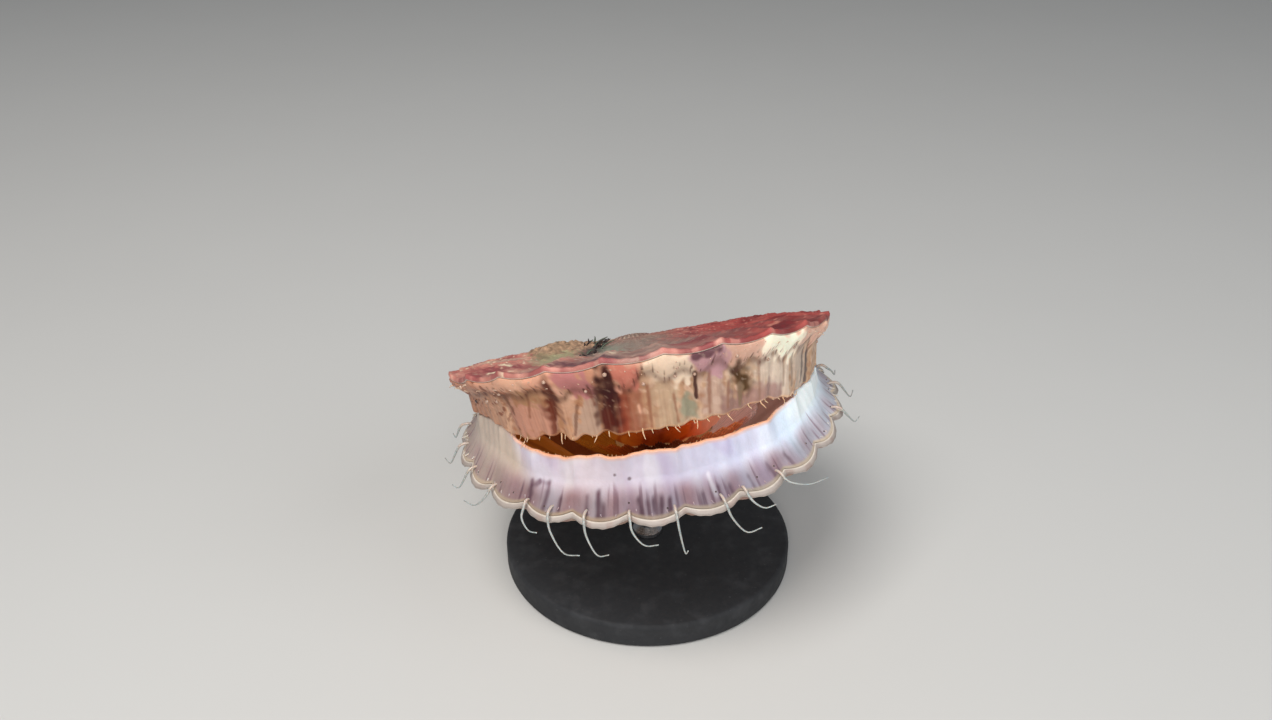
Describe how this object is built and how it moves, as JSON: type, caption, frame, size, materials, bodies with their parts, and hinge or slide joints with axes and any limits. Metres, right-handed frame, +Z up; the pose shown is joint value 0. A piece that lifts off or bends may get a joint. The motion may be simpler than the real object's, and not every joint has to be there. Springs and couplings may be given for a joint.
{
  "type": "swimming scallop on a display stand",
  "caption": "Life-size live scallop with its ribbed shell agape, mantle curtains, tentacles and eyes, held over a round stand by a short rod.",
  "frame": {"origin": "centre of the stand's underside, on the floor", "axes": "+Z up, the open margin of the shell faces -Y, the hinge is at +Y, +X is to the right as the picture shows the animal"},
  "size_m": [0.094, 0.0851, 0.0768],
  "materials": {
    "pink_shell": "matt, rose pink with pale flecks and darker bands",
    "cream_shell": "matt, cream at the rim and rose-brown outside",
    "ligament": "dark, satin",
    "upper_mantle": "wet, tan with grey-beige panels and dark rust blotches",
    "lower_mantle": "wet, translucent bluish white and lilac",
    "muscle": "wet, cream",
    "gonad": "wet, orange",
    "gill": "wet, orange-brown",
    "stand_stone": "honed, dark grey slate",
    "stand_steel": "satin"
  },
  "bodies": {
    "root": {"valve_upper": "pink_shell", "valve_lower": "cream_shell", "hinge_ligament": "ligament", "mantle_upper_far_left": "upper_mantle", "mantle_upper_left": "upper_mantle", "mantle_upper_front": "upper_mantle", "mantle_upper_right": "upper_mantle", "mantle_upper_far_right": "upper_mantle", "velum_upper_far_left": "upper_mantle", "velum_upper_left": "upper_mantle", "velum_upper_front": "upper_mantle", "velum_upper_right": "upper_mantle", "velum_upper_far_right": "upper_mantle", "mantle_lower_far_left": "lower_mantle", "mantle_lower_left": "lower_mantle", "mantle_lower_front": "lower_mantle", "mantle_lower_right": "lower_mantle", "mantle_lower_far_right": "lower_mantle", "velum_lower_far_left": "lower_mantle", "velum_lower_left": "lower_mantle", "velum_lower_front": "lower_mantle", "velum_lower_right": "lower_mantle", "velum_lower_far_right": "lower_mantle", "adductor_muscle": "muscle", "gonad": "gonad", "gill_upper": "gill", "gill_lower": "gill", "stand_base": "stand_stone", "stand_rod": "stand_steel"}
  },
  "joints": []
}
